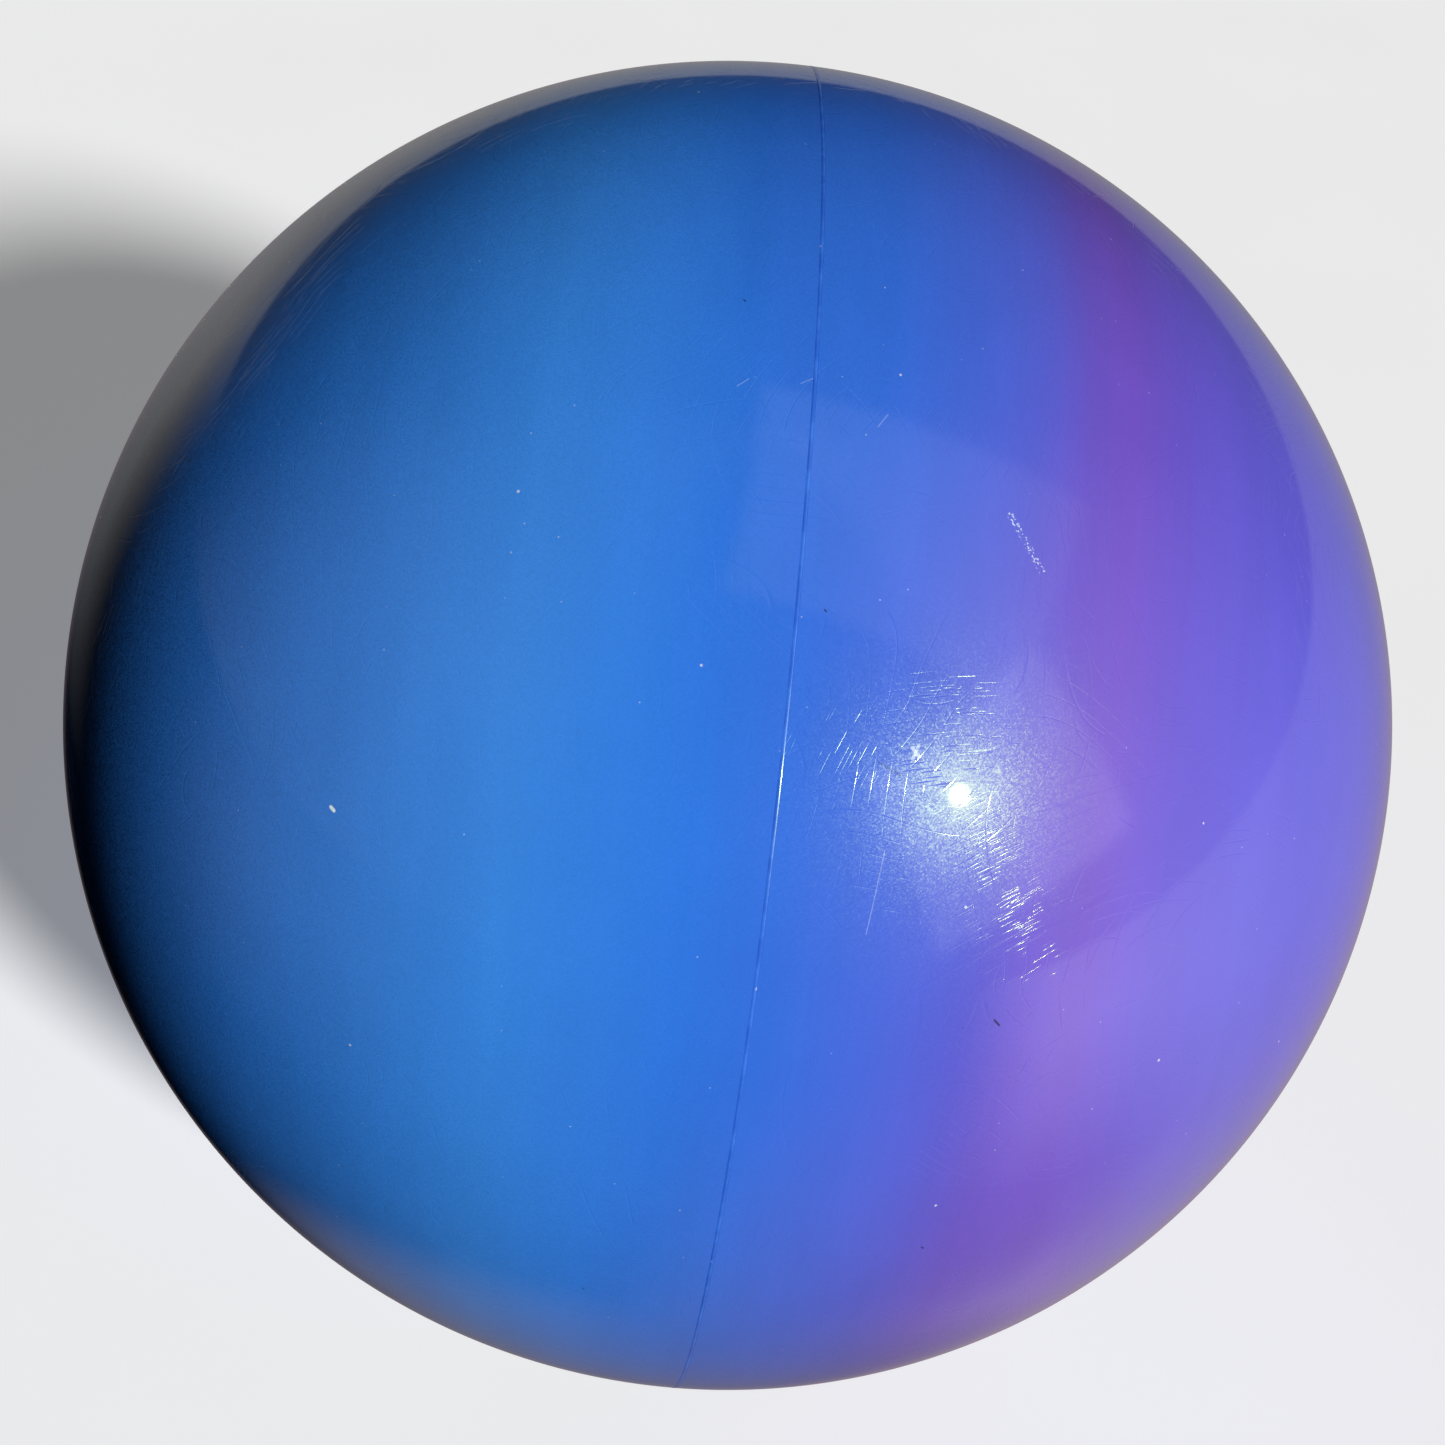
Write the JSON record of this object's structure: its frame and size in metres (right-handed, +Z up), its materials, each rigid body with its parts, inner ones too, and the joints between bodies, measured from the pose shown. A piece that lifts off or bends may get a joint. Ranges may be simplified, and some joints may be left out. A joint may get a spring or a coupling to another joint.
{
  "type": "juggling ball",
  "caption": "Hollow glossy soft-vinyl stage juggling ball, graded from azure to violet across a fine raised weld seam, with a plugged air valve at one pole.",
  "frame": {"origin": "the ball's centre", "axes": "+X from the centre out through the valve at the violet pole, the weld seam in the YZ plane, +Z up"},
  "size_m": [0.1, 0.1, 0.1],
  "materials": {
    "blue_vinyl": "polished soft vinyl, azure blue, finely scratched",
    "violet_vinyl": "polished soft vinyl, graded from indigo through magenta to violet, finely scratched",
    "weld_vinyl": "glossy weld bead, slightly uneven",
    "valve_rubber": "satin moulded rubber",
    "plug_vinyl": "satin moulded vinyl"
  },
  "bodies": {
    "ball": {"blue_half_shell": "blue_vinyl", "violet_half_shell": "violet_vinyl", "seam_bead": "weld_vinyl", "valve_bush": "valve_rubber"},
    "plug": {"valve_plug": "plug_vinyl"}
  },
  "joints": [
    {"name": "plug_pull", "type": "slide", "parent": "ball", "child": "plug", "axis": [1, 0, 0], "range_m": [0, 0.013]}
  ]
}
